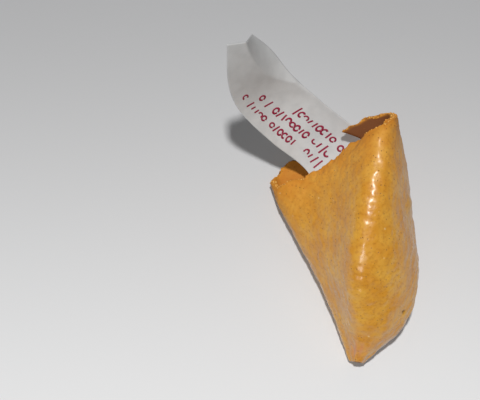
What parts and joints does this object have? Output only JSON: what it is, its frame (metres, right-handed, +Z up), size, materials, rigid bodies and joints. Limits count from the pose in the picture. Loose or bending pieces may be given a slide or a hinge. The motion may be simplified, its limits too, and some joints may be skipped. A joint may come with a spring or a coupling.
{
  "type": "fortune cookie",
  "caption": "Broken-off half of a folded crisp wafer: a hollow pocket with a torn mouth, a rolled-in rim and a narrow curled paper slip rising out of it.",
  "frame": {"origin": "under the middle of the bounding box, at the height of the surface the half lies on", "axes": "+Z up; +Y from the closed tip towards the broken mouth and the free end of the slip; +X from the fold side towards the slit side"},
  "size_m": [0.0356, 0.0548, 0.0355],
  "materials": {
    "baked_wafer": null,
    "slip_paper": null
  },
  "bodies": {
    "root": {"cookie_half": "baked_wafer", "fortune_slip": "slip_paper"}
  },
  "joints": []
}
